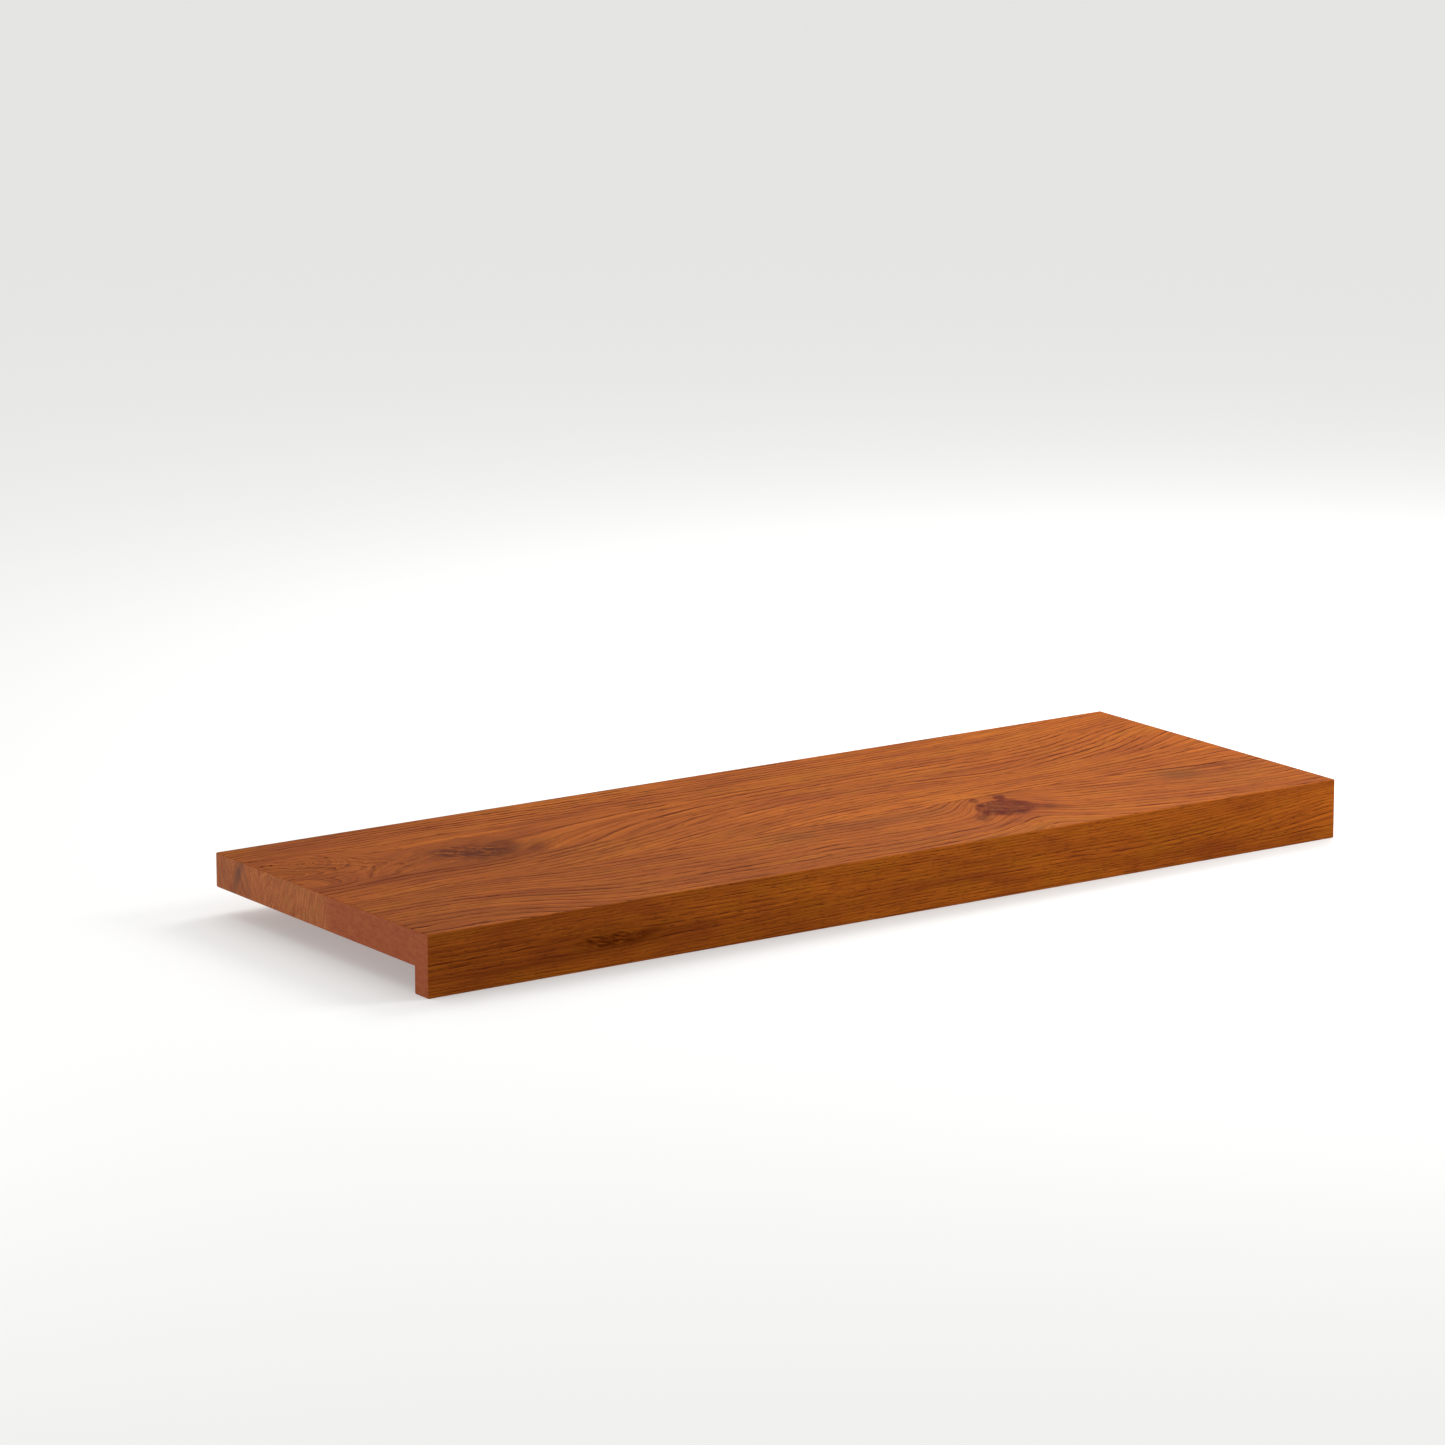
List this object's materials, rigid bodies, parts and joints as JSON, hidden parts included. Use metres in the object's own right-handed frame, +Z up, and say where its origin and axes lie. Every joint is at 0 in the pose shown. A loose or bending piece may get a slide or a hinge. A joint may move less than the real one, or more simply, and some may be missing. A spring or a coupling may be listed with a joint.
{
  "type": "stair tread",
  "caption": "Solid wood stair tread of L-shaped section: a flat board with a drop lip along its front edge that covers the edge of the step under it.",
  "frame": {"origin": "middle of the length and of the depth, at the foot of the drop lip, which is the lowest face", "axes": "+X along the tread from its left end to its right end, +Y from the front lip to the back edge, +Z up out of the walking face"},
  "size_m": [0.8, 0.285, 0.045],
  "materials": {
    "stained_wood": "stained orange brown, satin lacquer"
  },
  "bodies": {
    "root": {"stair_tread": "stained_wood"}
  },
  "joints": []
}
